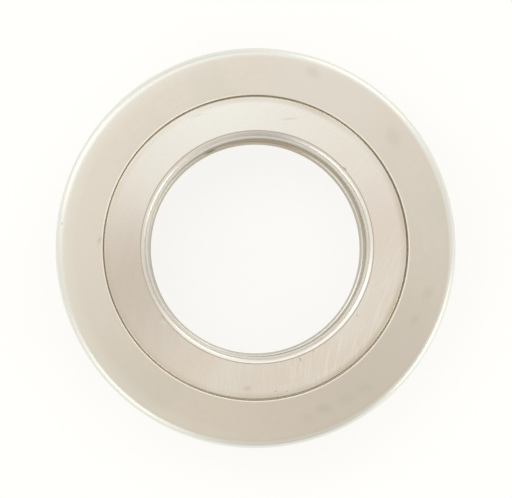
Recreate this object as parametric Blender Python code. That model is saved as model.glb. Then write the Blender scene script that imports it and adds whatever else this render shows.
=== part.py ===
"""Banded thrust ball bearing of the clutch release kind, lying flat on its stationary washer.

Units are metres. +Z runs along the bearing's axis, from the seat on the stationary washer
(z = 0) to the thrust face of the rotating washer. Every ring is an outline in the (r, z)
half plane, spun about Z. The balls roll in the ball cage between the two washers, and a
pressed steel band holds the washers together: its flange covers the rotating washer's
shoulder, and its lower edge is rolled in over the stationary washer's chamfer.
"""

import math

import bmesh
import bpy
from mathutils import Matrix, Vector

MM = 0.001

# Driving dimensions
OUTER_RADIUS = 82.55 / 2 * MM
BORE_RADIUS = 44.45 / 2 * MM
HEIGHT = 19.05 * MM
BALL_DIAMETER = 8.731 * MM
BALL_COUNT = 18
PITCH_RADIUS = 31.0 * MM
BALL_HEIGHT = 9.0 * MM
RACE_CONFORMITY = 0.527  # groove radius as a share of the ball's diameter

# Clearances
BALL_PLAY = 0.1 * MM
SEAT_GAP = 0.1 * MM
RUNNING_GAP = 0.4 * MM
BOSS_GAP = 0.3 * MM

# Raceways: height of the flat land on either side of each groove
LOWER_LAND = 6.4 * MM
UPPER_LAND = 11.6 * MM

# Pressed band
BAND_WALL = 1.3 * MM
BAND_FLANGE_TOP = 18.25 * MM
BAND_FLANGE_BORE = 31.45 * MM
BAND_CORNER = 1.55 * MM
BAND_EDGE_ROUND = 0.35 * MM
ROLLED_EDGE_WALL = 0.9 * MM
ROLLED_EDGE_LIFT = 0.3 * MM

# Stationary washer
LOWER_CHAMFER = 1.575 * MM
BORE_CHAMFER = 0.8 * MM
LIP_RADIUS = 25.0 * MM
LIP_TOP = 9.2 * MM
LIP_EDGE = 0.4 * MM

# Rotating washer
ROTOR_BORE_RADIUS = 22.8 * MM
SKIRT_RADIUS = 25.2 * MM
BORE_ROUND = 1.2 * MM
BORE_ROUND_DROP = 1.19 * MM  # how far below the thrust face the round meets the bore
BOSS_EDGE_ROUND = 0.9 * MM
SHOULDER_RADIUS = 39.4 * MM
EDGE_CHAMFER = 0.4 * MM

# Ball cage: a channel ring with its two rims turned down
CAGE_SHEET = 0.8 * MM
CAGE_WEB_TOP = 10.1 * MM
CAGE_RIM_BOTTOM = 7.7 * MM
CAGE_INNER_RADIUS = 25.6 * MM
CAGE_OUTER_RADIUS = 36.4 * MM
POCKET_RADIUS = 4.5 * MM

# Facets
RING_STEPS = 60
GROOVE_STEPS = 8
POCKET_SIDES = 20
BALL_SUBDIVISIONS = 3
SMOOTH_ANGLE = math.radians(32)

# Worked out from the dimensions above
BALL_RADIUS = BALL_DIAMETER / 2
RACE_RADIUS = RACE_CONFORMITY * BALL_DIAMETER
RACE_OFFSET = RACE_RADIUS - BALL_RADIUS - BALL_PLAY
BAND_INNER_RADIUS = OUTER_RADIUS - BAND_WALL
STATOR_RADIUS = BAND_INNER_RADIUS - SEAT_GAP
BOSS_RADIUS = BAND_FLANGE_BORE - BOSS_GAP
SHOULDER_HEIGHT = BAND_FLANGE_TOP - BAND_WALL - RUNNING_GAP
SKIRT_BOTTOM = LIP_TOP + RUNNING_GAP

# Colours (linear RGB) and roughness of the steels
GROUND_STEEL = ((0.66, 0.63, 0.60), 0.32)
TURNED_STEEL = ((0.52, 0.49, 0.46), 0.38)
DRAWN_STEEL = ((0.58, 0.55, 0.50), 0.36)
CAGE_STEEL = ((0.42, 0.40, 0.37), 0.45)
POLISHED_STEEL = ((0.72, 0.72, 0.73), 0.12)


def clear_scene():
    for thing in list(bpy.data.objects):
        bpy.data.objects.remove(thing, do_unlink=True)


def steel(name, finish):
    """A plain metal material from a (colour, roughness) pair."""
    colour, roughness = finish
    material = bpy.data.materials.new(name)
    material.use_nodes = True
    shader = material.node_tree.nodes["Principled BSDF"]
    shader.inputs["Base Color"].default_value = (*colour, 1.0)
    shader.inputs["Metallic"].default_value = 1.0
    shader.inputs["Roughness"].default_value = roughness
    return material


def arc(centre, radius, start, end, steps):
    """Points of an arc in the (r, z) half plane, angles in degrees, both ends included."""
    points = []
    for i in range(steps + 1):
        angle = math.radians(start + (end - start) * i / steps)
        r = centre[0] + radius * math.cos(angle)
        z = centre[1] + radius * math.sin(angle)
        points.append((r, z))
    return points


def groove(centre_height, land_height):
    """The ball groove in a land, as (r, z) points from its outer side to its inner side."""
    rise = land_height - centre_height
    end = math.degrees(math.asin(rise / RACE_RADIUS))
    far_end = math.copysign(180, rise) - end
    return arc((PITCH_RADIUS, centre_height), RACE_RADIUS, end, far_end, GROOVE_STEPS)


def place(name, mesh, material, parent, smooth=True):
    mesh.materials.append(material)
    if smooth:
        mesh.shade_smooth()
        mesh.set_sharp_from_angle(angle=SMOOTH_ANGLE)
    thing = bpy.data.objects.new(name, mesh)
    thing.parent = parent
    bpy.context.collection.objects.link(thing)
    return thing


def ring(name, outline, material, parent):
    """A solid of revolution about Z from a closed (r, z) outline."""
    bm = bmesh.new()
    verts = [bm.verts.new((r, 0.0, z)) for r, z in outline]
    edges = [bm.edges.new((verts[i - 1], verts[i])) for i in range(len(verts))]
    bmesh.ops.spin(
        bm,
        geom=verts + edges,
        cent=(0, 0, 0),
        axis=(0, 0, 1),
        angle=2 * math.pi,
        steps=RING_STEPS,
        use_merge=True,
    )
    bmesh.ops.recalc_face_normals(bm, faces=bm.faces)
    mesh = bpy.data.meshes.new(name)
    bm.to_mesh(mesh)
    bm.free()
    return place(name, mesh, material, parent)


def rotating_washer(parent):
    """Ground thrust face on a boss, a shoulder under the band's flange, and a skirt in the bore."""
    round_centre = (ROTOR_BORE_RADIUS + BORE_ROUND, HEIGHT - BORE_ROUND_DROP)
    round_end = 180 - math.degrees(math.asin(BORE_ROUND_DROP / BORE_ROUND))
    boss_centre = (BOSS_RADIUS - BOSS_EDGE_ROUND, HEIGHT - BOSS_EDGE_ROUND)
    outline = [(ROTOR_BORE_RADIUS, SKIRT_BOTTOM)]
    outline += arc(round_centre, BORE_ROUND, 180, round_end, 4)
    outline += arc(boss_centre, BOSS_EDGE_ROUND, 90, 0, 3)
    outline += [
        (BOSS_RADIUS, SHOULDER_HEIGHT),
        (SHOULDER_RADIUS - EDGE_CHAMFER, SHOULDER_HEIGHT),
        (SHOULDER_RADIUS, SHOULDER_HEIGHT - EDGE_CHAMFER),
        (SHOULDER_RADIUS, UPPER_LAND + EDGE_CHAMFER),
        (SHOULDER_RADIUS - EDGE_CHAMFER, UPPER_LAND),
    ]
    outline += groove(BALL_HEIGHT - RACE_OFFSET, UPPER_LAND)
    outline += [(SKIRT_RADIUS, UPPER_LAND), (SKIRT_RADIUS, SKIRT_BOTTOM)]
    return ring("rotating_washer", outline, steel("ground_steel", GROUND_STEEL), parent)


def stationary_washer(parent):
    """The seated washer: a lip in the bore and a chamfer that the band is rolled over."""
    outline = [
        (BORE_RADIUS, BORE_CHAMFER),
        (BORE_RADIUS, LIP_TOP - LIP_EDGE),
        (BORE_RADIUS + LIP_EDGE, LIP_TOP),
        (LIP_RADIUS, LIP_TOP),
        (LIP_RADIUS, LOWER_LAND),
    ]
    outline += reversed(groove(BALL_HEIGHT + RACE_OFFSET, LOWER_LAND))
    outline += [
        (STATOR_RADIUS - EDGE_CHAMFER, LOWER_LAND),
        (STATOR_RADIUS, LOWER_LAND - EDGE_CHAMFER),
        (STATOR_RADIUS, LOWER_CHAMFER),
        (STATOR_RADIUS - LOWER_CHAMFER, 0.0),
        (BORE_RADIUS + BORE_CHAMFER, 0.0),
    ]
    return ring("stationary_washer", outline, steel("turned_steel", TURNED_STEEL), parent)


def band_shell(parent):
    """The pressed band: flange, rounded corner, wall, and an edge rolled in at 45 degrees."""
    flange_bottom = BAND_FLANGE_TOP - BAND_WALL
    upper_edge = (BAND_FLANGE_BORE + BAND_EDGE_ROUND, BAND_FLANGE_TOP - BAND_EDGE_ROUND)
    lower_edge = (BAND_FLANGE_BORE + BAND_EDGE_ROUND, flange_bottom + BAND_EDGE_ROUND)
    corner = (OUTER_RADIUS - BAND_CORNER, BAND_FLANGE_TOP - BAND_CORNER)
    # Both faces of the rolled edge are lines r = z + constant, along the washer's chamfer.
    inner_line = STATOR_RADIUS - LOWER_CHAMFER + SEAT_GAP * math.sqrt(2)
    outer_line = inner_line + ROLLED_EDGE_WALL * math.sqrt(2)
    outline = arc(lower_edge, BAND_EDGE_ROUND, 270, 180, 2)
    outline += arc(upper_edge, BAND_EDGE_ROUND, 180, 90, 2)
    outline += arc(corner, BAND_CORNER, 90, 0, 5)
    outline += [
        (OUTER_RADIUS, OUTER_RADIUS - outer_line),
        (outer_line + ROLLED_EDGE_LIFT, ROLLED_EDGE_LIFT),
        (inner_line + ROLLED_EDGE_LIFT, ROLLED_EDGE_LIFT),
        (BAND_INNER_RADIUS, BAND_INNER_RADIUS - inner_line),
    ]
    outline += arc(corner, BAND_CORNER - BAND_WALL, 0, 90, 2)
    return ring("band_shell", outline, steel("drawn_steel", DRAWN_STEEL), parent)


def pocket_cutter(parent):
    """One upright cylinder for each ball pocket, as a single hidden cutter."""
    height = 4 * CAGE_SHEET
    bm = bmesh.new()
    for spoke in ball_spokes():
        centre = spoke * PITCH_RADIUS + Vector((0, 0, CAGE_WEB_TOP - CAGE_SHEET / 2))
        bmesh.ops.create_cone(
            bm,
            cap_ends=True,
            segments=POCKET_SIDES,
            radius1=POCKET_RADIUS,
            radius2=POCKET_RADIUS,
            depth=height,
            matrix=Matrix.Translation(centre),
        )
    mesh = bpy.data.meshes.new("pocket_cutter")
    bm.to_mesh(mesh)
    bm.free()
    cutter = bpy.data.objects.new("pocket_cutter", mesh)
    cutter.parent = parent
    cutter.hide_render = True
    cutter.display_type = "WIRE"
    bpy.context.collection.objects.link(cutter)
    return cutter


def ball_cage(parent):
    """A channel ring, web up and rims down, with a round pocket for each ball."""
    web_bottom = CAGE_WEB_TOP - CAGE_SHEET
    outline = [
        (CAGE_INNER_RADIUS, CAGE_RIM_BOTTOM),
        (CAGE_INNER_RADIUS, CAGE_WEB_TOP),
        (CAGE_OUTER_RADIUS, CAGE_WEB_TOP),
        (CAGE_OUTER_RADIUS, CAGE_RIM_BOTTOM),
        (CAGE_OUTER_RADIUS - CAGE_SHEET, CAGE_RIM_BOTTOM),
        (CAGE_OUTER_RADIUS - CAGE_SHEET, web_bottom),
        (CAGE_INNER_RADIUS + CAGE_SHEET, web_bottom),
        (CAGE_INNER_RADIUS + CAGE_SHEET, CAGE_RIM_BOTTOM),
    ]
    cage = ring("ball_cage", outline, steel("cage_steel", CAGE_STEEL), parent)
    pockets = cage.modifiers.new("pockets", "BOOLEAN")
    pockets.operation = "DIFFERENCE"
    pockets.solver = "EXACT"
    pockets.object = pocket_cutter(parent)
    return cage


def ball_spokes():
    """Unit vectors from the axis towards each ball, evenly spaced round the cage."""
    step = 2 * math.pi / BALL_COUNT
    return [Vector((math.cos(i * step), math.sin(i * step), 0)) for i in range(BALL_COUNT)]


def balls(cage):
    """Balls on the pitch circle, each with its local X along its rolling axis."""
    material = steel("ball_steel", POLISHED_STEEL)
    bm = bmesh.new()
    bmesh.ops.create_icosphere(bm, subdivisions=BALL_SUBDIVISIONS, radius=BALL_RADIUS)
    mesh = bpy.data.meshes.new("ball")
    bm.to_mesh(mesh)
    bm.free()
    mesh.materials.append(material)
    mesh.shade_smooth()
    for number, spoke in enumerate(ball_spokes(), start=1):
        ball = bpy.data.objects.new(f"ball_{number:02d}", mesh)
        ball.parent = cage
        ball.location = spoke * PITCH_RADIUS + Vector((0, 0, BALL_HEIGHT))
        ball.rotation_euler = (0, 0, math.atan2(spoke.y, spoke.x))
        bpy.context.collection.objects.link(ball)


def main():
    clear_scene()
    axis = bpy.data.objects.new("bearing_axis", None)
    bpy.context.collection.objects.link(axis)
    stationary_washer(axis)
    band_shell(axis)
    rotating_washer(axis)
    balls(ball_cage(axis))


main()
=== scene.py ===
"""Looks of the banded thrust ball bearing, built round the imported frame.

Every ring is an outline in the (r, z) half plane spun about Z, with fine rounds where the
real steel has them, and small nicks pushed into its mesh. Each stretch of an outline names
its finish, such as ground, drawn, turned or oily steel. Units are metres, and angles round
the axis are in degrees from +X.
"""

import math

import bmesh
import bpy
import numpy as np
from mathutils import Matrix, Vector


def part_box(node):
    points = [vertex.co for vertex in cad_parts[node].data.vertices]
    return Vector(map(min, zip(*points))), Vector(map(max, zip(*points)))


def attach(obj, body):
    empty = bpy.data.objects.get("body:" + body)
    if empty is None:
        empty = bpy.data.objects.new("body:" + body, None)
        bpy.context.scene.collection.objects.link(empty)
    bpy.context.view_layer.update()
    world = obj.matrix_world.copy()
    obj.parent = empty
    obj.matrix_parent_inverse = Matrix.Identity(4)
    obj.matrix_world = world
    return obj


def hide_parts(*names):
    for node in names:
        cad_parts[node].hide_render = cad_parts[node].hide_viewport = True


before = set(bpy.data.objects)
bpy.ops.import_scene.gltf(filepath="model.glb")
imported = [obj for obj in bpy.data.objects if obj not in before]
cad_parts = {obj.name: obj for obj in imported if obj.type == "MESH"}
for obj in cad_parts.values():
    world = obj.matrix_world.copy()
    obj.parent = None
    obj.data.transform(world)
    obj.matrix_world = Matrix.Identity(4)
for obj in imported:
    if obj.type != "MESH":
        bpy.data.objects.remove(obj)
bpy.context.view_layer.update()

MM = 0.001

# Read from the frame
BAND_LOW, BAND_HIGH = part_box("band_shell")
ROTOR_LOW, ROTOR_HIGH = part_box("rotating_washer")
STATOR_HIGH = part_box("stationary_washer")[1]
CAGE_LOW, CAGE_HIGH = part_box("ball_cage")
BALL_LOW, BALL_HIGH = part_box("ball_01")
BALL_NAMES = sorted(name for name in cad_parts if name.startswith("ball_") and name[-1].isdigit())

OUTER_RADIUS = BAND_HIGH.x
TOP = ROTOR_HIGH.z
BALL_RADIUS = (BALL_HIGH.z - BALL_LOW.z) / 2
BALL_HEIGHT = (BALL_HIGH.z + BALL_LOW.z) / 2
PITCH_RADIUS = (BALL_HIGH.x + BALL_LOW.x) / 2

# The same as in the design of the solids
BORE_RADIUS = 22.225 * MM
ROTOR_BORE_RADIUS = 22.8 * MM
BORE_ROUND = 1.2 * MM
BORE_ROUND_DROP = 1.19 * MM
LIP_RADIUS = 25.0 * MM
SKIRT_RADIUS = 25.2 * MM
LOWER_LAND = 6.4 * MM
UPPER_LAND = 11.6 * MM
LOWER_CHAMFER = 1.575 * MM
BAND_WALL = 1.3 * MM
BAND_CORNER = 1.55 * MM
ROLLED_EDGE_WALL = 0.9 * MM
RUNNING_GAP = 0.4 * MM
SEAT_GAP = 0.1 * MM
BALL_PLAY = 0.1 * MM
RACE_CONFORMITY = 0.527  # groove radius as a share of the ball's diameter
RACE_RADIUS = RACE_CONFORMITY * 2 * BALL_RADIUS
RACE_OFFSET = RACE_RADIUS - BALL_RADIUS - BALL_PLAY
CAGE_SHEET = 0.8 * MM
CAGE_INNER_RADIUS = 25.6 * MM
POCKET_RADIUS = 4.5 * MM

# The gap between flange and boss, a little narrower than between the flat-sided solids
FLANGE_BORE = 31.38 * MM
FLANGE_GAP = 0.28 * MM
BOSS_RADIUS = FLANGE_BORE - FLANGE_GAP

# Fine shape that the solids leave out, or have in another form or size
EDGE_ROUND = 0.35 * MM
SMALL_ROUND = 0.2 * MM
FILLET = 0.3 * MM
BORE_EDGE_ROUND = 0.8 * MM
BOSS_EDGE_ROUND = 0.2 * MM
SHADED_RIM_WIDTH = 0.24 * MM  # dark strip along the bore's rim, painted shade
FLANGE_EDGE_ROUND = 0.19 * MM
EDGE_HIGHLIGHT_WIDTH = 0.19 * MM  # strip along the flange's edge painted bright, a painted highlight
LEDGE_WIDTH = 0.19 * MM  # old grease on the flange's edge
LEDGE_DROP = 0.32 * MM
LEDGE_RISE = 0.04 * MM
ROLLED_BEND = 1.2 * MM
ROLLED_LIP = 0.25 * MM
ROLLED_LIP_SHIFT = 0.1 * MM
BORE_RUNOUT = (0.3 * MM, 0.12 * MM)  # how far the rotating washer's bore lies off centre
RUNOUT_DEPTH = 1.3 * MM  # how much of the wall follows the bore off centre
RUNOUT_FADE = 1.0 * MM  # how much further out it is back on centre
BOSS_PLAY = 0.05 * MM  # how far the rotating washer has slid along -X in the band
NICK_DEPTH = 0.12 * MM

# Fineness of the meshes
RING_STEPS = 420
STRETCH = 0.4 * MM
FINE_STRETCH = 0.2 * MM
FINE_DEPTH = 3.4 * MM  # how far below the thrust face the bore's mesh is fine
ARC_STEP = math.radians(7)
SHARP = math.radians(16)
SAME_POINT = 0.001 * MM
BALL_SUBDIVISIONS = 5
POCKET_SIDES = 64
CUTTER_HEIGHT = 8 * MM

# Colours of the band
DRAWN = (0.755, 0.712, 0.658)
DRAWN_GREENISH = (0.94, 0.965, 0.955)
DRAWN_PINKISH = (1.0, 0.965, 0.94)
DRAWN_SHEEN = (0.93, 0.95, 0.84, 1.0)
# the band's outer wall, painted darker as shade
DRAWN_WALL_SHADED = (0.47, 0.445, 0.40, 1.0)
WALL_STREAK = (1.16, 1.16, 1.15)
# pale worn steel of the outer corner, also used for the painted highlight on the -X side
WORN_AND_LIT_COLOUR = (0.81, 0.815, 0.77, 1.0)
STAIN_TINT = (0.80, 0.83, 0.79)
STAIN_TURN = 70  # degrees from the direction out of the centre to a stain's length
STAIN_WIDTH = 0.6  # as a share of its length
# Painted light and shade on the band's flange, darker towards +X -Y, paler at +Y and -X: x, y, size, tint
FLANGE_LIGHT_AND_SHADE_PATCHES = (
    (24 * MM, -28 * MM, 38 * MM, (0.905, 0.905, 0.905)),
    (18 * MM, 31 * MM, 26 * MM, (1.03, 1.05, 1.07)),
    (-36 * MM, -3 * MM, 28 * MM, (1.03, 1.04, 1.05)),
)
# Stains on the band's flange: angle, distance from the axis, length, strength
FLANGE_STAINS = (
    (-15, 36.6 * MM, 5.0 * MM, 0.4),
    (-24, 36.0 * MM, 4.0 * MM, 0.4),
    (-52, 36.6 * MM, 5.0 * MM, 0.4),
    (-59, 36.2 * MM, 5.0 * MM, 0.45),
    (-67, 36.0 * MM, 5.0 * MM, 0.6),
    (-73, 36.6 * MM, 4.0 * MM, 0.35),
    (72, 38.0 * MM, 5.0 * MM, 0.35),
    (39, 36.4 * MM, 7.0 * MM, 0.35),
    (177.3, 32.1 * MM, 2.6 * MM, 0.6),
    (172.9, 40.2 * MM, 1.0 * MM, 1.0),
)

# Colours of the thrust face
GROUND = (0.875, 0.855, 0.82)
GROUND_PINKISH = (0.98, 0.935, 0.91)
CLEAN_HIGHLIGHT_TINT = (1.03, 1.065, 1.095)
STROKE_TINT = (1.045, 1.055, 1.06)
MARK_COLOUR = (0.40, 0.385, 0.36, 1.0)
RIM_OIL_AND_SHADE = (0.56, 0.49, 0.38, 1.0)
WHEEL_CENTRE = (80 * MM, -30 * MM, 0.0)  # the arcs on the thrust face run about this point
# Where the thrust face stayed clean and smooth, painted paler there as a painted highlight: x, y, size
CLEAN_AND_LIT_PATCH = (-7 * MM, 28 * MM, 32 * MM)
# Where the wheel's strokes show as pale arcs: x, y, size
SCORED_PATCH = (17 * MM, -20 * MM, 34 * MM)
# Painted light and shade on the thrust face, darkest on the -X side: x, y, size, tint, strength in the
# middle
FACE_LIGHT_AND_SHADE_PATCHES = (
    (27 * MM, 4 * MM, 17 * MM, (0.955, 0.91, 0.905), 1.0),
    (-26 * MM, -7 * MM, 27 * MM, (0.79, 0.745, 0.715), 0.95),
    (-20 * MM, 17 * MM, 13 * MM, (0.95, 0.965, 0.97), 0.7),
    (14 * MM, 23 * MM, 12 * MM, (1.0, 1.02, 1.02), 0.7),
)
# Scratches and specks on the thrust face: x, y, angle, length, width, strength
FACE_MARKS = (
    (9.2 * MM, -23.0 * MM, 105, 1.6 * MM, 0.34 * MM, 0.8),
    (11.9 * MM, -21.2 * MM, 70, 0.9 * MM, 0.34 * MM, 0.6),
    (16.6 * MM, -17.3 * MM, 60, 1.0 * MM, 0.3 * MM, 0.5),
    (20.9 * MM, -13.9 * MM, 110, 1.0 * MM, 0.34 * MM, 0.5),
    (4.1 * MM, -29.5 * MM, 0, 0.6 * MM, 0.5 * MM, 0.6),
    (6.4 * MM, -29.5 * MM, 0, 0.6 * MM, 0.4 * MM, 0.5),
    (-1.7 * MM, -28.9 * MM, 0, 2.6 * MM, 1.6 * MM, 0.25),
    (-18.7 * MM, -15.0 * MM, 40, 0.9 * MM, 0.5 * MM, 0.6),
    (18.4 * MM, 16.2 * MM, -50, 1.2 * MM, 0.45 * MM, 0.7),
    (7.0 * MM, 26.5 * MM, 5, 5.0 * MM, 0.7 * MM, 0.2),
    (-12.0 * MM, 27.2 * MM, 20, 4.0 * MM, 0.8 * MM, 0.15),
)

# Colours of the bore, the running gap and the balls
OIL_AND_SHADE_SIDE = (3 * MM, 24 * MM, 0.0)  # where dried oil lies thickest and painted shade is darkest
SHADED_BORE_SIDE = (-22 * MM, -8 * MM, 0.0)  # where the bore's steel is painted darker as shade
SHADED_BORE_SIZE = 16 * MM
SHADED_BORE_TINT = (0.76, 0.74, 0.72)
AGED_SHEEN = (0.84, 0.81, 0.74, 1.0)
OIL_TINT = (0.90, 0.87, 0.80)
BORE_STAIN = (0.30, 0.30, 0.16, 1.0)
BORE_STAIN_ANGLE = 115
BORE_STAIN_SIZE = 2.0 * MM
GREASE = (0.51, 0.455, 0.395)
GREASE_PALE = (0.98, 0.91, 0.81, 1.0)
PALER_ANGLE = -75
PALER_SIZE = 46 * MM
LAPPED = (0.72, 0.715, 0.70)
# Steels with dried oil and painted shade at the back: colour, colour of the oil and shade, its strength,
# its spread, roughness
AGED_STEELS = {
    "tumbled": ((0.88, 0.855, 0.80), (0.68, 0.665, 0.655), 0.9, 13 * MM, 0.37),
    "lip": ((0.80, 0.78, 0.72), (0.49, 0.42, 0.33), 1.0, 20 * MM, 0.30),
    "aged": ((0.51, 0.485, 0.41), (0.40, 0.34, 0.26), 1.0, 34 * MM, 0.30),
    # painted highlight: brighter than steel, on the flange's edge round and the flat strip beside it
    "edge": ((1.0, 0.97, 0.91), (0.64, 0.62, 0.57), 1.0, 17 * MM, 0.26),
}
# Plain turned steels: colour, roughness, and for some the lines in a metre and their depth
TURNED_STEELS = {
    "bore": ((0.64, 0.61, 0.54), 0.26),
    "tanned": ((0.69, 0.63, 0.56), 0.34),
    "turned": ((0.60, 0.575, 0.52), 0.30, 2400.0, 0.006 * MM),
    # painted shade: a dark line along the bore's rim
    "shaded_rim": ((0.56, 0.52, 0.47), 0.30),
    "oily": ((0.55, 0.46, 0.33), 0.32),
    "raceway": ((0.66, 0.65, 0.62), 0.12, 4200.0, 0.001 * MM),
    "cage": ((0.50, 0.475, 0.42), 0.38, 1500.0, 0.006 * MM),
}

# Floor and surroundings. Depths and heights are the Y and Z of the direction looked in.
PAPER = (0.20, 0.198, 0.195)
FLOOR_SIZE = 8.0
FLOOR_GLOW = 0.825
FLOOR_GLOW_COLOUR = (1.0, 0.99, 0.965, 1.0)
WALL_FRONT = (0.56, 0.55, 0.53, 1.0)
WALL_BACK = (0.80, 0.785, 0.755, 1.0)
WALL_DEPTHS = (-0.75, 0.1)
HORIZON = (1.0, 0.995, 0.965, 1.0)
HORIZON_HEIGHTS = (0.055, 0.26)
CEILING_FRONT = (0.77, 0.69, 0.58, 1.0)
CEILING_BACK = (1.0, 0.99, 0.94, 1.0)
CEILING_DEPTHS = (-0.14, 0.20)
CEILING_HEIGHTS = (0.55, 0.95)
SHADE_DIRECTION = (-0.07, -0.02, 1.0)
SHADE_SIZE = 0.14
SHADE_DEPTH = 0.7
SHADE_COLOUR = (0.42, 0.36, 0.29, 1.0)

# Lamps
LAMP_COLOUR = (1.0, 0.98, 0.95)
WINDOW_COLOUR = (0.98, 0.99, 1.0)
WINDOW_PLACE = (-0.22, 0.24, 0.62)
WINDOW_SIZE = 0.45
WINDOW_POWER = 0.25
# Softboxes: name, distance from the axis, angle, height, width, tallness, power
SOFTBOXES = (
    ("light_front_left", 0.70, 227, 0.43, 0.46, 0.40, 0.90),
    ("light_front_right", 0.80, 332, 0.24, 0.34, 0.32, 0.90),
    ("light_back_left", 0.70, 152, 0.45, 0.30, 0.50, 0.62),
    ("light_back_right", 0.80, 58, 0.36, 0.40, 0.30, 0.84),
)

# Camera
CAMERA_DISTANCE = 0.5
CAMERA_SHIFT = (-2.9 * MM, -7.5 * MM)
CAMERA_AIM = (0.06 * MM, -0.27 * MM)
SEEN_WIDTH = 105.2 * MM
SENSOR_WIDTH = 36.0
NEAREST_SEEN = 0.01


# ---------------------------------------------------------------- outlines and rings


class Outline:
    """A clockwise closed outline in the (r, z) half plane, each stretch with its finish."""

    def __init__(self, r, z):
        self.points = [(r, z)]
        self.finishes = []

    def add(self, r, z, finish):
        self.points.append((r, z))
        self.finishes.append(finish)

    def line(self, r, z, finish, step=STRETCH):
        """A straight stretch to (r, z), cut into short pieces."""
        start = self.points[-1]
        pieces = max(1, math.ceil(math.dist(start, (r, z)) / step))
        for i in range(1, pieces + 1):
            share = i / pieces
            self.add(start[0] + (r - start[0]) * share, start[1] + (z - start[1]) * share, finish)

    def arc(self, centre, radius, start, end, finish):
        """An arc about centre, in degrees, joined by a line to what comes before it."""
        start, end = math.radians(start), math.radians(end)
        first = (centre[0] + radius * math.cos(start), centre[1] + radius * math.sin(start))
        if math.dist(first, self.points[-1]) > SAME_POINT:
            self.line(*first, finish)
        pieces = max(2, math.ceil(abs(end - start) / ARC_STEP))
        for i in range(1, pieces + 1):
            angle = start + (end - start) * i / pieces
            self.add(centre[0] + radius * math.cos(angle), centre[1] + radius * math.sin(angle), finish)

    def close(self, finish):
        """A straight stretch back to the start, whose own point is already there."""
        self.line(*self.points[0], finish)
        self.points.pop()


def ring(name, outline, looks, nicks=(), runout=(0.0, 0.0), play=0.0):
    """Spins an outline about Z into a closed mesh, with the nicks pushed in.

    The bore lies off centre by runout, and the rest of the ring along -X by play.
    """
    outline_points = np.array(outline.points)
    count = len(outline_points)
    turn = np.arange(RING_STEPS) * 2 * math.pi / RING_STEPS
    r, z = outline_points[:, 0], outline_points[:, 1]
    x = np.outer(np.cos(turn), r)
    y = np.outer(np.sin(turn), r)
    fade = np.clip((r - r.min() - RUNOUT_DEPTH) / RUNOUT_FADE, 0.0, 1.0)
    x = x + runout[0] * (1.0 - fade) - play * fade
    y = y + runout[1] * (1.0 - fade)
    points = np.stack([x, y, np.broadcast_to(z, x.shape)], -1).reshape(-1, 3)
    for one in nicks:
        points = pushed_in(points, *one)
    mesh = bpy.data.meshes.new(name)
    mesh.from_pydata(points.tolist(), [], ring_faces(count).tolist())
    names = list(dict.fromkeys(outline.finishes))
    for finish in names:
        mesh.materials.append(looks[finish])
    index = np.array([names.index(finish) for finish in outline.finishes])
    mesh.polygons.foreach_set("material_index", np.tile(index, RING_STEPS))
    smooth(mesh)
    mesh.update()
    return placed(name, mesh)


def ring_faces(count):
    """Quads between each spun copy of an outline of count points and the next copy."""
    here = np.arange(RING_STEPS)[:, None] * count
    following = (np.arange(RING_STEPS)[:, None] + 1) % RING_STEPS * count
    first = np.arange(count)[None, :]
    second = (first + 1) % count
    faces = np.stack([here + first, here + second, following + second, following + first], -1)
    return faces.reshape(-1, 4)


def nick(degrees, radius, height, width, tallness, depth, outward, upward):
    """A nick for ring(): where it is, its size, its depth and which way it is pushed."""
    push = polar(outward, degrees, upward)
    return polar(radius, degrees, height), (width, width, tallness), depth, push


def pushed_in(points, centre, size, depth, push):
    """A smooth dent: points near centre move along push, falling off with distance."""
    away = np.linalg.norm((points - np.array(centre)) / np.array(size), axis=1)
    share = np.exp(-away**2)
    return points + share[:, None] * depth * np.array(Vector(push).normalized())


def smooth(mesh):
    mesh.shade_smooth()
    mesh.set_sharp_from_angle(angle=SHARP)


def placed(name, mesh):
    """The mesh as an object of the scene."""
    piece = bpy.data.objects.new(name, mesh)
    bpy.context.scene.collection.objects.link(piece)
    return piece


def polar(radius, degrees, height):
    """A point given by its radius, its angle from +X and its height."""
    angle = math.radians(degrees)
    return (radius * math.cos(angle), radius * math.sin(angle), height)


def settle(piece, node, body):
    """Attaches the piece to the body it moves with, and hides the node it stands for."""
    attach(piece, body)
    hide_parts(node)


# ---------------------------------------------------------------- shader nodes


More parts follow.
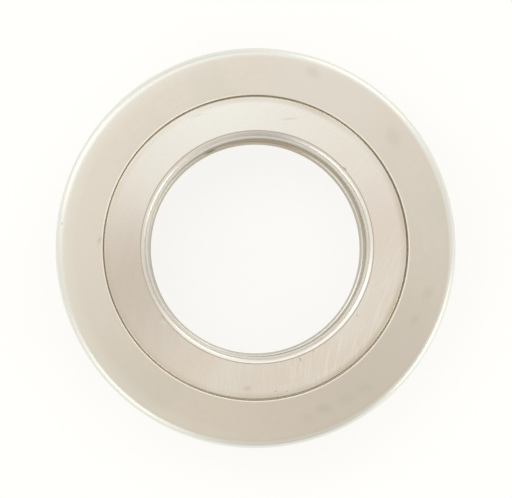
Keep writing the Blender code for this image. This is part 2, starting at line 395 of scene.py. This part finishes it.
class Graph:
    """Short ways to add and join shader nodes in a material or a world."""

    def __init__(self, owner):
        owner.use_nodes = True
        self.owner = owner
        self.tree = owner.node_tree

    def put(self, socket, value):
        if isinstance(value, bpy.types.NodeSocket):
            self.tree.links.new(value, socket)
        else:
            socket.default_value = value

    def node(self, kind, values=None, **settings):
        made = self.tree.nodes.new(kind)
        for key, value in settings.items():
            setattr(made, key, value)
        for key, value in (values or {}).items():
            self.put(made.inputs[key], value)
        return made

    def math(self, operation, first, second=0.0):
        return self.node("ShaderNodeMath", {0: first, 1: second}, operation=operation).outputs[0]

    def vector(self, operation, first, second=(0.0, 0.0, 0.0)):
        made = self.node("ShaderNodeVectorMath", {0: first, 1: second}, operation=operation)
        return made.outputs["Value" if operation == "LENGTH" else "Vector"]

    def ramp(self, value, low, high, to_low=0.0, to_high=1.0):
        """value mapped smoothly from low..high to to_low..to_high."""
        values = {"Value": value, 1: low, 2: high, 3: to_low, 4: to_high}
        made = self.node("ShaderNodeMapRange", values, interpolation_type="SMOOTHSTEP")
        return made.outputs[0]

    def noise(self, vector, scale, detail=2.0, roughness=0.5):
        values = {"Vector": vector, "Scale": scale, "Detail": detail, "Roughness": roughness}
        return self.node("ShaderNodeTexNoise", values).outputs["Fac"]

    def mix(self, first, second, share):
        values = {"Factor": share, 6: first, 7: second}
        made = self.node("ShaderNodeMix", values, data_type="RGBA")
        return made.outputs[2]

    def colour_by(self, base, share, dark, light):
        """base darkened or lightened as share goes from 0 to 1."""
        low = tuple(c * dark for c in base) + (1.0,)
        high = tuple(min(1.0, c * light) for c in base) + (1.0,)
        return self.mix(low, high, share)

    def bump(self, height, distance, strength=1.0, after=None):
        values = {"Height": height, "Distance": distance, "Strength": strength}
        if after is not None:
            values["Normal"] = after
        return self.node("ShaderNodeBump", values).outputs["Normal"]

    def place(self):
        """The object's own coordinates, in metres."""
        return self.node("ShaderNodeTexCoord").outputs["Object"]

    def sideways(self, place):
        """The X coordinate."""
        return self.node("ShaderNodeSeparateXYZ", {0: place}).outputs["X"]

    def round_about(self, place):
        """(unit vector away from the Z axis, distance from it, height)"""
        flat = self.vector("MULTIPLY", place, (1.0, 1.0, 0.0))
        height = self.node("ShaderNodeSeparateXYZ", {0: place}).outputs["Z"]
        return self.vector("NORMALIZE", flat), self.vector("LENGTH", flat), height

    def up(self, height):
        """A vector along Z."""
        return self.node("ShaderNodeCombineXYZ", {"Z": height}).outputs[0]

    def tinted(self, base, tint):
        return tuple(c * t for c, t in zip(base, tint)) + (1.0,)

    def spot(self, place, centre, size, strength):
        """A soft round patch of the given size about centre, worth strength in its middle."""
        away = self.vector("LENGTH", self.vector("SUBTRACT", place, centre))
        return self.ramp(away, 0.0, size, strength, 0.0)

    def patch(self, place, x, y, size, strength=1.0):
        """A spot at the height of the thrust face."""
        return self.spot(place, (x, y, TOP), size, strength)

    def mark(self, place, centre, degrees, length, width, strength):
        """A soft oval patch, its length turned by degrees from +X."""
        turned = self.node("ShaderNodeMapping", {"Vector": place}, vector_type="TEXTURE")
        turned.inputs["Location"].default_value = centre
        turned.inputs["Rotation"].default_value = (0.0, 0.0, math.radians(degrees))
        turned.inputs["Scale"].default_value = (length / 2, width / 2, length / 2)
        away = self.vector("LENGTH", turned.outputs[0])
        return self.ramp(away, 0.2, 1.0, strength, 0.0)

    def drawn_out(self, away, distance, per_metre, turns):
        """Where to read noise that runs round a centre and changes quickly with distance."""
        along = self.vector("SCALE", away)
        along.node.inputs["Scale"].default_value = turns
        return self.vector("ADD", along, self.up(self.math("MULTIPLY", distance, per_metre)))

    def lathe_lines(self, place, per_metre, turns, detail=3.0, roughness=0.6):
        """Noise drawn out round the axis, as a tool or a die leaves it."""
        away, radius, height = self.round_about(place)
        where = self.drawn_out(away, self.math("ADD", radius, height), per_metre, turns)
        return self.noise(where, 1.0, detail, roughness)

    def wheel_lines(self, place, per_metre, turns, roughness=0.5):
        """Noise drawn out into arcs about the middle of the grinding wheel."""
        away, reach = self.round_about(self.vector("SUBTRACT", place, WHEEL_CENTRE))[:2]
        return self.noise(self.drawn_out(away, reach, per_metre, turns), 1.0, 2.0, roughness)


def metal(name, metallic=1.0):
    """A new material: the graph that feeds its shader, and the shader's inputs."""
    g = Graph(bpy.data.materials.new(name))
    shader = g.tree.nodes["Principled BSDF"]
    shader.inputs["Metallic"].default_value = metallic
    return g, shader.inputs


# ---------------------------------------------------------------- the band's steel


def drawn_steel():
    """Deep drawn sheet: smooth and warm, with faint marks round the axis and a few stains."""
    line_depth, grain_depth = 0.0015 * MM, 0.002 * MM
    g, inputs = metal("drawn_steel")
    place = g.place()
    away, radius, height = g.round_about(place)
    grain = g.noise(place, 700.0, 4.0, 0.6)
    lines = g.lathe_lines(place, 2600.0, 5.0, 4.0, 0.65)
    worn = g.ramp(radius, OUTER_RADIUS - 1.6 * MM, OUTER_RADIUS - 1.1 * MM)
    colour = flange_colour(g, place, grain)
    # worn outer corner, and a painted highlight on the flange's -X side
    colour = g.mix(colour, WORN_AND_LIT_COLOUR, g.math("MAXIMUM", worn, painted_side_highlight(g, place, radius)))
    colour = stained(g, place, colour)
    # painted shade: the outer wall is the band's steel painted darker
    on_wall = g.ramp(height, BAND_HIGH.z - 1.2 * MM, BAND_HIGH.z - 2.6 * MM)
    colour = g.mix(colour, shaded_wall_colour(g, away, height), on_wall)
    g.put(inputs["Base Color"], colour)
    inputs["Specular Tint"].default_value = DRAWN_SHEEN
    even = g.ramp(lines, 0.25, 0.75, 0.31, 0.35)
    g.put(inputs["Roughness"], g.math("ADD", even, g.math("MULTIPLY", worn, 0.10)))
    normal = g.bump(lines, line_depth)
    g.put(inputs["Normal"], g.bump(grain, grain_depth, after=normal))
    return g.owner


def flange_colour(g, place, grain):
    """Fine grain, with soft greenish and pinkish clouds and a few wide patches of painted light and shade.
    """
    cloud = g.noise(place, 55.0, 2.0, 0.45)
    colour = g.colour_by(DRAWN, g.ramp(grain, 0.3, 0.7), 0.985, 1.015)
    colour = g.mix(colour, g.tinted(DRAWN, DRAWN_GREENISH), g.ramp(cloud, 0.52, 0.72, 0.0, 0.7))
    colour = g.mix(colour, g.tinted(DRAWN, DRAWN_PINKISH), g.ramp(cloud, 0.48, 0.30, 0.0, 0.7))
    # painted light and shade
    for x, y, size, tint in FLANGE_LIGHT_AND_SHADE_PATCHES:
        colour = g.mix(colour, g.tinted(DRAWN, tint), g.patch(place, x, y, size, 0.9))
    return colour


def painted_side_highlight(g, place, radius):
    """Painted highlight: how much paler the flange is painted, more towards its outside, and most on the
    -X side.
    """
    outwards = g.ramp(radius, OUTER_RADIUS - 4.8 * MM, OUTER_RADIUS - 0.7 * MM)
    return g.math("MULTIPLY", outwards, g.ramp(g.sideways(place), 5 * MM, -30 * MM, 0.0, 0.8))


def stained(g, place, colour):
    for degrees, distance, length, strength in FLANGE_STAINS:
        centre = polar(distance, degrees, BAND_HIGH.z)
        stain = g.mark(place, centre, degrees + STAIN_TURN, length, STAIN_WIDTH * length, strength)
        colour = g.mix(colour, g.tinted(DRAWN, STAIN_TINT), stain)
    return colour


def shaded_wall_colour(g, away, height):
    """The band's outer wall: the same steel painted darker as shade, with short upright streaks."""
    around = g.vector("MULTIPLY", away, (160.0, 160.0, 0.0))
    where = g.vector("ADD", around, g.up(g.math("MULTIPLY", height, 110.0)))
    streaks = g.noise(where, 1.0, 3.0, 0.6)
    return g.mix(DRAWN_WALL_SHADED, g.tinted(DRAWN_WALL_SHADED, WALL_STREAK), g.ramp(streaks, 0.3, 0.7))


# ---------------------------------------------------------------- the thrust face's steel


def ground_steel():
    """Surface ground face: fine, nearly parallel arcs left by the edge of a wide wheel."""
    line_depth = 0.00026 * MM
    g, inputs = metal("ground_steel")
    place = g.place()
    fine = g.wheel_lines(place, 3400.0, 12.0, 0.6)
    wide = g.wheel_lines(place, 900.0, 12.0)
    clean_and_lit = g.patch(place, *CLEAN_AND_LIT_PATCH)
    colour = g.colour_by(GROUND, g.ramp(fine, 0.3, 0.7), 0.975, 1.012)
    colour = face_colour(g, place, colour)
    # painted highlight: the clean patch is also painted paler and bluer
    colour = g.mix(colour, g.tinted(GROUND, CLEAN_HIGHLIGHT_TINT), clean_and_lit)
    for x, y, degrees, length, width, strength in FACE_MARKS:
        scratch = g.mark(place, (x, y, TOP), degrees, length, width, strength)
        colour = g.mix(colour, MARK_COLOUR, scratch)
    # old oil, and painted shade where the boss meets the gap
    g.put(inputs["Base Color"], g.mix(colour, RIM_OIL_AND_SHADE, rim_oil_and_shade(g, place)))
    g.put(inputs["Roughness"], g.ramp(wide, 0.25, 0.75, 0.262, 0.282))
    x, y, size = SCORED_PATCH
    scored = g.patch(place, x, y, 1.6 * size)
    scored = g.math("MAXIMUM", scored, g.ramp(clean_and_lit, 0.15, 0.55, 0.25, 0.0))
    g.put(inputs["Normal"], g.bump(fine, line_depth, scored))
    return g.owner


def face_colour(g, place, colour):
    """Pinkish clouds, wide patches of painted light and shade, and pale arcs where the wheel's strokes
    show.
    """
    cloud = g.noise(place, 60.0, 2.0, 0.45)
    bands = g.wheel_lines(place, 1500.0, 9.0)
    strokes = g.math("MULTIPLY", g.ramp(bands, 0.5, 0.68), g.patch(place, *SCORED_PATCH, 0.85))
    colour = g.mix(colour, g.tinted(GROUND, GROUND_PINKISH), g.ramp(cloud, 0.42, 0.62, 0.0, 0.8))
    # painted light and shade: wide patches lighter or darker across the face
    for x, y, size, tint, strength in FACE_LIGHT_AND_SHADE_PATCHES:
        colour = g.mix(colour, g.tinted(GROUND, tint), g.patch(place, x, y, size, strength))
    return g.mix(colour, g.tinted(GROUND, STROKE_TINT), strokes)


def rim_oil_and_shade(g, place):
    """How thick old oil and painted shade lie along the boss's outer edge beside the gap: patchy, and less
    on the -X side.
    """
    radius = g.round_about(place)[1]
    outwards = g.ramp(radius, BOSS_RADIUS - 1.5 * MM, BOSS_RADIUS - 0.35 * MM, 0.0, 0.55)
    oil = g.math("MULTIPLY", outwards, g.ramp(g.sideways(place), -18 * MM, 8 * MM, 0.35, 1.0))
    return g.math("MULTIPLY", oil, g.ramp(g.noise(place, 60.0), 0.35, 0.65, 0.3, 1.0))


# ---------------------------------------------------------------- other finishes


def turned_steel(name, base, roughness, lines_per_metre=3200.0, depth=0.002 * MM):
    """Steel with fine marks round the axis and a thin, uneven oil film."""
    g, inputs = metal(name)
    place = g.place()
    lines = g.lathe_lines(place, lines_per_metre, 4.0)
    film = g.noise(place, 110.0, 2.0, 0.5)
    colour = g.colour_by(base, g.ramp(lines, 0.3, 0.7), 0.96, 1.03)
    colour = g.mix(colour, g.tinted(base, OIL_TINT), g.ramp(film, 0.48, 0.68, 0.0, 0.8))
    g.put(inputs["Base Color"], colour)
    g.put(inputs["Roughness"], g.ramp(film, 0.3, 0.7, roughness, roughness * 1.2))
    g.put(inputs["Normal"], g.bump(lines, depth))
    return g.owner


def aged_steel(name, base, oil, oil_and_shade_strength, spread, roughness):
    """Turned steel with dried oil and painted shade on it, darkest towards the back of the bore, and
    painted shade on its -X front side.
    """
    line_depth = 0.002 * MM
    g, inputs = metal(name)
    place = g.place()
    lines = g.lathe_lines(place, 3200.0, 4.0)
    colour = g.colour_by(base, g.ramp(lines, 0.3, 0.7), 0.95, 1.03)
    flat = g.vector("MULTIPLY", place, (1.0, 1.0, 0.0))
    # painted shade on the bore's -X front side
    bore_side_shade = g.spot(flat, SHADED_BORE_SIDE, SHADED_BORE_SIZE, 0.6)
    colour = g.mix(colour, g.tinted(base, SHADED_BORE_TINT), bore_side_shade)
    # dried oil and painted shade, darkest towards the back of the bore
    colour = g.mix(colour, oil + (1.0,), g.spot(flat, OIL_AND_SHADE_SIDE, spread, oil_and_shade_strength))
    stain_centre = polar(BORE_RADIUS, BORE_STAIN_ANGLE, STATOR_HIGH.z)
    colour = g.mix(colour, BORE_STAIN, g.spot(place, stain_centre, BORE_STAIN_SIZE, 0.95))
    g.put(inputs["Base Color"], colour)
    g.put(inputs["Roughness"], g.ramp(g.noise(place, 110.0), 0.3, 0.7, roughness, roughness * 1.25))
    inputs["Specular Tint"].default_value = AGED_SHEEN
    g.put(inputs["Normal"], g.bump(lines, line_depth))
    return g.owner


def dried_grease():
    """Old grease packed into the gap beside the band's flange, paler towards the front."""
    lump_depth = 0.02 * MM
    g, inputs = metal("dried_grease", metallic=0.0)
    lumps = g.noise(g.place(), 900.0, 3.0, 0.6)
    colour = g.colour_by(GREASE, g.ramp(lumps, 0.3, 0.7), 0.9, 1.1)
    paler_front = g.spot(g.place(), polar(FLANGE_BORE, PALER_ANGLE, TOP), PALER_SIZE, 1.0)
    g.put(inputs["Base Color"], g.mix(colour, GREASE_PALE, paler_front))
    g.put(inputs["Roughness"], g.ramp(lumps, 0.3, 0.7, 0.45, 0.6))
    g.put(inputs["Normal"], g.bump(lumps, lump_depth))
    return g.owner


def lapped_steel():
    """Bearing balls: mirror bright, with the faintest haze from running."""
    haze_depth = 0.0004 * MM
    g, inputs = metal("lapped_steel")
    place = g.place()
    haze = g.noise(place, 600.0, 3.0, 0.6)
    g.put(inputs["Base Color"], g.colour_by(LAPPED, haze, 0.95, 1.03))
    g.put(inputs["Roughness"], g.ramp(haze, 0.35, 0.65, 0.05, 0.09))
    g.put(inputs["Normal"], g.bump(g.noise(place, 2500.0), haze_depth))
    return g.owner


def finishes():
    """Every finish by the name that the outlines call it."""
    looks = {
        "drawn": drawn_steel(),
        "ground": ground_steel(),
        "grease": dried_grease(),
        "lapped": lapped_steel(),
    }
    for name, values in AGED_STEELS.items():
        looks[name] = aged_steel(name + "_steel", *values)
    for name, values in TURNED_STEELS.items():
        looks[name] = turned_steel(name + "_steel", *values)
    return looks


# ---------------------------------------------------------------- the bearing's pieces


def race_end(land, centre_height):
    """Angle in degrees from the groove's centre to where its arc meets the land."""
    return math.degrees(math.asin((land - centre_height) / RACE_RADIUS))


def rotating_washer(looks):
    skirt_low = ROTOR_LOW.z
    shoulder = ROTOR_HIGH.x - EDGE_ROUND
    shoulder_height = BAND_HIGH.z - BAND_WALL - RUNNING_GAP
    boss_edge = (BOSS_RADIUS - BOSS_EDGE_ROUND, TOP - BOSS_EDGE_ROUND)
    fine_from = TOP - FINE_DEPTH
    round_centre = (ROTOR_BORE_RADIUS + BORE_ROUND, TOP - BORE_ROUND_DROP)
    face_angle = 180 - math.degrees(math.asin(BORE_ROUND_DROP / BORE_ROUND))
    face_start = round_centre[0] + BORE_ROUND * math.cos(math.radians(face_angle))
    groove = (PITCH_RADIUS, BALL_HEIGHT - RACE_OFFSET)
    end = race_end(UPPER_LAND, groove[1])
    shape = Outline(ROTOR_BORE_RADIUS, skirt_low + SMALL_ROUND)
    shape.line(ROTOR_BORE_RADIUS, fine_from, "bore")
    shape.line(ROTOR_BORE_RADIUS, round_centre[1], "bore", FINE_STRETCH)
    shape.arc(round_centre, BORE_ROUND, 180, face_angle, "tumbled")
    shape.line(face_start + SHADED_RIM_WIDTH, TOP, "shaded_rim")
    shape.line(boss_edge[0], TOP, "ground")
    shape.arc(boss_edge, BOSS_EDGE_ROUND, 90, 0, "tanned")
    shape.arc((BOSS_RADIUS + FILLET, shoulder_height + FILLET), FILLET, 180, 270, "oily")
    shape.line(shoulder, shoulder_height, "oily")
    shape.arc((shoulder, shoulder_height - EDGE_ROUND), EDGE_ROUND, 90, 0, "turned")
    shape.arc((shoulder, UPPER_LAND + EDGE_ROUND), EDGE_ROUND, 0, -90, "turned")
    shape.arc(groove, RACE_RADIUS, end, 180 - end, "raceway")
    shape.arc((SKIRT_RADIUS + FILLET, UPPER_LAND - FILLET), FILLET, 90, 180, "turned")
    shape.arc((SKIRT_RADIUS - SMALL_ROUND, skirt_low + SMALL_ROUND), SMALL_ROUND, 0, -90, "turned")
    shape.arc((ROTOR_BORE_RADIUS + SMALL_ROUND, skirt_low + SMALL_ROUND), SMALL_ROUND, -90, -180, "turned")
    shape.close("bore")
    nicks = (
        nick(41, face_start, TOP, 0.45 * MM, 0.3 * MM, NICK_DEPTH, 1.0, -1.2),
        nick(-142, face_start, TOP, 0.4 * MM, 0.3 * MM, NICK_DEPTH, 1.0, -1.0),
        nick(24.5, ROTOR_BORE_RADIUS, TOP - 2.2 * MM, 0.35 * MM, 0.4 * MM, NICK_DEPTH, 1.0, -0.6),
    )
    piece = ring("rotating_washer_finished", shape, looks, nicks, BORE_RUNOUT, BOSS_PLAY)
    settle(piece, "rotating_washer", "rotating")


def stationary_washer(looks):
    radius = STATOR_HIGH.x
    lip_top = STATOR_HIGH.z
    groove = (PITCH_RADIUS, BALL_HEIGHT + RACE_OFFSET)
    end = race_end(LOWER_LAND, groove[1])
    shape = Outline(BORE_RADIUS, BORE_EDGE_ROUND)
    shape.line(BORE_RADIUS, lip_top - EDGE_ROUND, "aged")
    shape.arc((BORE_RADIUS + EDGE_ROUND, lip_top - EDGE_ROUND), EDGE_ROUND, 180, 90, "lip")
    shape.arc((LIP_RADIUS - SMALL_ROUND, lip_top - SMALL_ROUND), SMALL_ROUND, 90, 0, "turned")
    shape.arc((LIP_RADIUS + FILLET, LOWER_LAND + FILLET), FILLET, 180, 270, "turned")
    shape.arc(groove, RACE_RADIUS, 180 - end, 360 + end, "raceway")
    shape.arc((radius - EDGE_ROUND, LOWER_LAND - EDGE_ROUND), EDGE_ROUND, 90, 0, "turned")
    shape.line(radius, LOWER_CHAMFER, "turned")
    shape.line(radius - LOWER_CHAMFER, 0.0, "turned")
    shape.arc((BORE_RADIUS + BORE_EDGE_ROUND, BORE_EDGE_ROUND), BORE_EDGE_ROUND, 270, 180, "turned")
    shape.points.pop()  # the last point is the first one again
    piece = ring("stationary_washer_finished", shape, looks)
    settle(piece, "stationary_washer", "stationary")


def band_shell(looks):
    top = BAND_HIGH.z
    low = BAND_LOW.z
    inner_radius = OUTER_RADIUS - BAND_WALL
    corner = (OUTER_RADIUS - BAND_CORNER, top - BAND_CORNER)
    edge_r = FLANGE_BORE + FLANGE_EDGE_ROUND
    lower_edge = (edge_r, top - BAND_WALL + FLANGE_EDGE_ROUND)
    upper_edge = (edge_r, top - FLANGE_EDGE_ROUND)
    ledge_top = top - LEDGE_DROP
    # Both faces of the rolled edge are lines r = z + constant, along the washer's chamfer.
    inner_line = STATOR_HIGH.x - LOWER_CHAMFER + SEAT_GAP * math.sqrt(2)
    outer_line = inner_line + ROLLED_EDGE_WALL * math.sqrt(2)
    bend_height = OUTER_RADIUS - outer_line + ROLLED_BEND * math.tan(math.radians(22.5))
    lip_height = low + ROLLED_LIP
    lip_centre = (outer_line + low - ROLLED_LIP_SHIFT, lip_height)
    shape = Outline(edge_r, top - BAND_WALL)
    shape.arc(lower_edge, FLANGE_EDGE_ROUND, 270, 180, "drawn")
    shape.line(FLANGE_BORE - LEDGE_WIDTH, ledge_top, "grease")
    shape.line(FLANGE_BORE, ledge_top + LEDGE_RISE, "grease")
    shape.arc(upper_edge, FLANGE_EDGE_ROUND, 180, 90, "edge")
    shape.line(edge_r + EDGE_HIGHLIGHT_WIDTH, top, "edge")
    shape.arc(corner, BAND_CORNER, 90, 0, "drawn")
    shape.arc((OUTER_RADIUS - ROLLED_BEND, bend_height), ROLLED_BEND, 0, -45, "drawn")
    shape.line(outer_line + low + ROLLED_LIP, lip_height, "drawn")
    shape.arc(lip_centre, ROLLED_LIP, -30, -90, "drawn")
    shape.line(inner_line + low, low, "drawn")
    shape.line(inner_radius, inner_radius - inner_line, "turned")
    shape.arc(corner, BAND_CORNER - BAND_WALL, 0, 90, "turned")
    shape.close("oily")
    nicks = (
        nick(-33, OUTER_RADIUS, 16.8 * MM, 0.5 * MM, 0.4 * MM, 0.1 * MM, -1.0, -0.5),
        nick(172.5, OUTER_RADIUS - 1.2 * MM, 17.9 * MM, 0.3 * MM, 0.3 * MM, 0.08 * MM, 0.0, -1.0),
    )
    piece = ring("band_shell_finished", shape, looks, nicks)
    settle(piece, "band_shell", "stationary")


def ball_cage(looks):
    """Pressed channel ring, web up, with rounded bends, and a pocket round each ball."""
    inner, outer = CAGE_INNER_RADIUS, CAGE_HIGH.x
    low, top = CAGE_LOW.z, CAGE_HIGH.z
    shape = Outline(inner, low)
    shape.arc((inner + FILLET, top - FILLET), FILLET, 180, 90, "cage")
    shape.arc((outer - FILLET, top - FILLET), FILLET, 90, 0, "cage")
    shape.line(outer, low, "cage")
    shape.line(outer - CAGE_SHEET, low, "cage")
    shape.line(outer - CAGE_SHEET, top - CAGE_SHEET, "cage")
    shape.line(inner + CAGE_SHEET, top - CAGE_SHEET, "cage")
    shape.line(inner + CAGE_SHEET, low, "cage")
    shape.close("cage")
    piece = ring("ball_cage_finished", shape, looks)
    cut_pockets(piece, (low + top) / 2, looks["cage"])
    settle(piece, "ball_cage", "cage")


def cut_pockets(piece, height, material):
    """Cuts the pockets out of the cage's mesh, and clears the cutter away."""
    cutter = pocket_cutter(height, material)
    pockets = piece.modifiers.new("pockets", "BOOLEAN")
    pockets.operation = "DIFFERENCE"
    pockets.object = cutter
    graph = bpy.context.evaluated_depsgraph_get()
    mesh = bpy.data.meshes.new_from_object(piece.evaluated_get(graph))
    piece.modifiers.clear()
    piece.data = mesh
    bpy.data.objects.remove(cutter)
    smooth(mesh)


def pocket_cutter(height, material):
    """An upright cylinder round each ball, all in one mesh."""
    bm = bmesh.new()
    for name in BALL_NAMES:
        low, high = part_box(name)
        centre = (low + high) / 2
        centre.z = height
        bmesh.ops.create_cone(
            bm,
            cap_ends=True,
            segments=POCKET_SIDES,
            radius1=POCKET_RADIUS,
            radius2=POCKET_RADIUS,
            depth=CUTTER_HEIGHT,
            matrix=Matrix.Translation(centre),
        )
    mesh = bpy.data.meshes.new("pocket_cutter")
    bm.to_mesh(mesh)
    bm.free()
    mesh.materials.append(material)
    return placed("pocket_cutter", mesh)


def balls(looks):
    bm = bmesh.new()
    bmesh.ops.create_icosphere(bm, subdivisions=BALL_SUBDIVISIONS, radius=BALL_RADIUS)
    mesh = bpy.data.meshes.new("ball_finished")
    bm.to_mesh(mesh)
    bm.free()
    mesh.shade_smooth()
    mesh.materials.append(looks["lapped"])
    for name in BALL_NAMES:
        low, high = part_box(name)
        piece = placed(name + "_finished", mesh)
        piece.location = (low + high) / 2
        bpy.context.view_layer.update()
        settle(piece, name, name)


# ---------------------------------------------------------------- floor, light and camera


def floor():
    """White paper that glows a little, so that it stays white beside the steel."""
    bpy.ops.mesh.primitive_plane_add(size=FLOOR_SIZE, location=(0, 0, 0))
    plane = bpy.context.object
    plane.name = "floor"
    g, inputs = metal("floor_paper", metallic=0.0)
    inputs["Specular IOR Level"].default_value = 0.1
    inputs["Roughness"].default_value = 0.9
    g.put(inputs["Base Color"], g.colour_by(PAPER, g.noise(g.place(), 30.0), 0.99, 1.0))
    inputs["Emission Color"].default_value = FLOOR_GLOW_COLOUR
    inputs["Emission Strength"].default_value = FLOOR_GLOW
    plane.data.materials.append(g.owner)


def surroundings():
    """Pale walls over white paper, a ceiling brighter at the back, and the camera's shade."""
    world = bpy.data.worlds.new("studio")
    bpy.context.scene.world = world
    g = Graph(world)
    direction = g.node("ShaderNodeTexCoord").outputs["Generated"]
    parts = g.node("ShaderNodeSeparateXYZ", {0: direction}).outputs
    depth, height = parts["Y"], parts["Z"]
    walls = g.mix(WALL_FRONT, WALL_BACK, g.ramp(depth, *WALL_DEPTHS))
    walls = g.mix(HORIZON, walls, g.ramp(height, *HORIZON_HEIGHTS))
    ceiling = g.mix(CEILING_FRONT, CEILING_BACK, g.ramp(depth, *CEILING_DEPTHS))
    shade = g.spot(direction, SHADE_DIRECTION, SHADE_SIZE, SHADE_DEPTH)
    ceiling = g.mix(ceiling, SHADE_COLOUR, shade)
    sky = g.tree.nodes["Background"].inputs
    g.put(sky["Color"], g.mix(walls, ceiling, g.ramp(height, *CEILING_HEIGHTS)))


def softbox(name, place, width, tallness, power, colour=LAMP_COLOUR):
    """An oblong area light that faces the bearing."""
    data = bpy.data.lights.new(name, "AREA")
    data.shape = "RECTANGLE"
    data.size = width
    data.size_y = tallness
    data.energy = power
    data.color = colour
    light = bpy.data.objects.new(name, data)
    light.location = place
    light.rotation_mode = "QUATERNION"
    light.rotation_quaternion = Vector(place).to_track_quat("Z", "Y")
    light.visible_camera = False
    bpy.context.scene.collection.objects.link(light)


def lights():
    """Softboxes on four sides, and a window high up at the back left."""
    for name, distance, degrees, height, width, tallness, power in SOFTBOXES:
        softbox(name, polar(distance, degrees, height), width, tallness, power)
    softbox("window", WINDOW_PLACE, WINDOW_SIZE, WINDOW_SIZE, WINDOW_POWER, WINDOW_COLOUR)


def camera():
    """Almost straight above, a little towards the front and the left."""
    data = bpy.data.cameras.new("camera")
    data.sensor_width = SENSOR_WIDTH
    data.lens = SENSOR_WIDTH * CAMERA_DISTANCE / SEEN_WIDTH
    data.clip_start = NEAREST_SEEN
    view = bpy.data.objects.new("camera", data)
    view.location = Vector((*CAMERA_SHIFT, TOP + CAMERA_DISTANCE))
    back = (view.location - Vector((*CAMERA_AIM, TOP))).normalized()
    right = Vector((0, 1, 0)).cross(back).normalized()
    up = back.cross(right)
    view.rotation_mode = "QUATERNION"
    view.rotation_quaternion = Matrix((right, up, back)).transposed().to_quaternion()
    bpy.context.scene.collection.objects.link(view)
    bpy.context.scene.camera = view


def main():
    bpy.context.scene.view_settings.view_transform = "Standard"
    looks = finishes()
    rotating_washer(looks)
    stationary_washer(looks)
    band_shell(looks)
    ball_cage(looks)
    balls(looks)
    floor()
    surroundings()
    lights()
    camera()


main()
